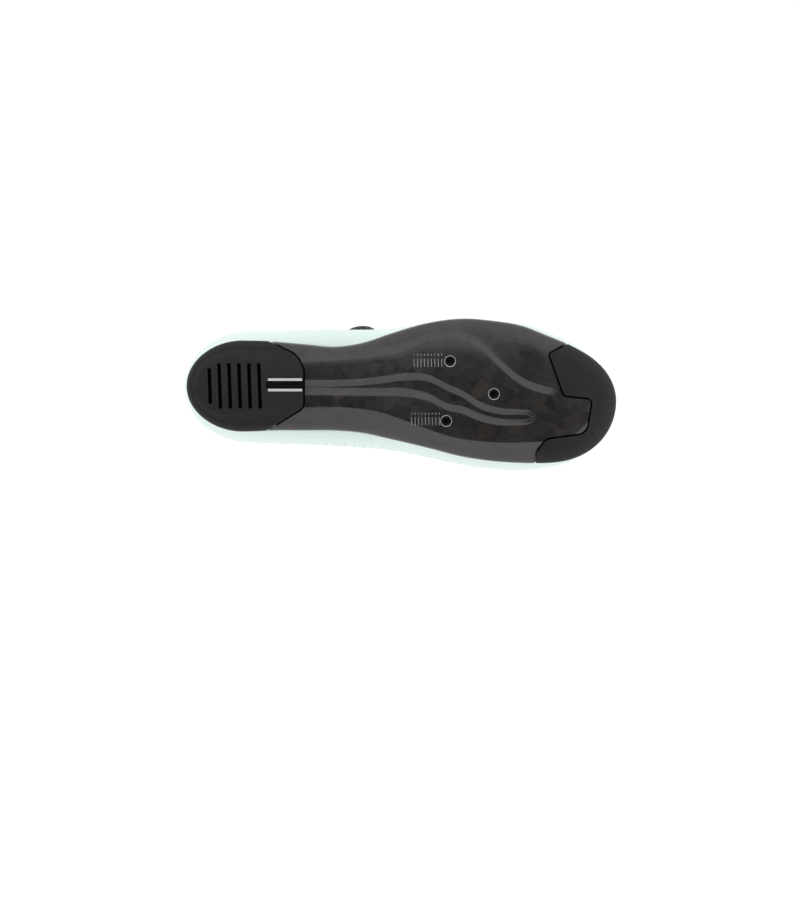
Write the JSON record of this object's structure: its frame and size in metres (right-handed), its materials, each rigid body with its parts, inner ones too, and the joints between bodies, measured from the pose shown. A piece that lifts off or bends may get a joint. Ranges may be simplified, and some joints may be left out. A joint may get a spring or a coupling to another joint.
{
  "type": "road cycling shoe",
  "caption": "Right road cycling shoe with a pale mint upper, a stiff black carbon plate for a clip-in cleat, rubber heel and toe pads and a lace dial, lying on its outer side.",
  "frame": {"origin": "middle of the bounding box, on the floor that the shoe's outer side rests on", "axes": "+X from the toe towards the heel, -Y out of the sole, +Z from the outer (lateral) side up to the inner (medial) side"},
  "size_m": [0.2798, 0.1032, 0.1013],
  "materials": {
    "carbon": "clear-coated chopped carbon fibre",
    "tread_rubber": "fine-textured black rubber",
    "steel": "turned steel",
    "mint_shell": "smooth coated microfibre, pale mint",
    "tongue_fabric": "padded mesh",
    "insole_foam": "fabric on foam",
    "dial_plastic": "fine-grained black plastic",
    "lace_cord": "thin braided cord",
    "guide_webbing": "woven webbing"
  },
  "bodies": {
    "root": {"sole_plate": "carbon", "heel_pad": "tread_rubber", "toe_pad": "tread_rubber", "insert_front": "steel", "insert_lateral": "steel", "insert_medial": "steel", "upper": "mint_shell", "tongue": "tongue_fabric", "insole": "insole_foam", "dial_base": "dial_plastic", "dial_knob": "dial_plastic", "lace": "lace_cord", "guide_medial_1": "guide_webbing", "guide_lateral_1": "guide_webbing", "guide_medial_2": "guide_webbing", "guide_lateral_2": "guide_webbing", "guide_medial_3": "guide_webbing", "guide_lateral_3": "guide_webbing"}
  },
  "joints": []
}
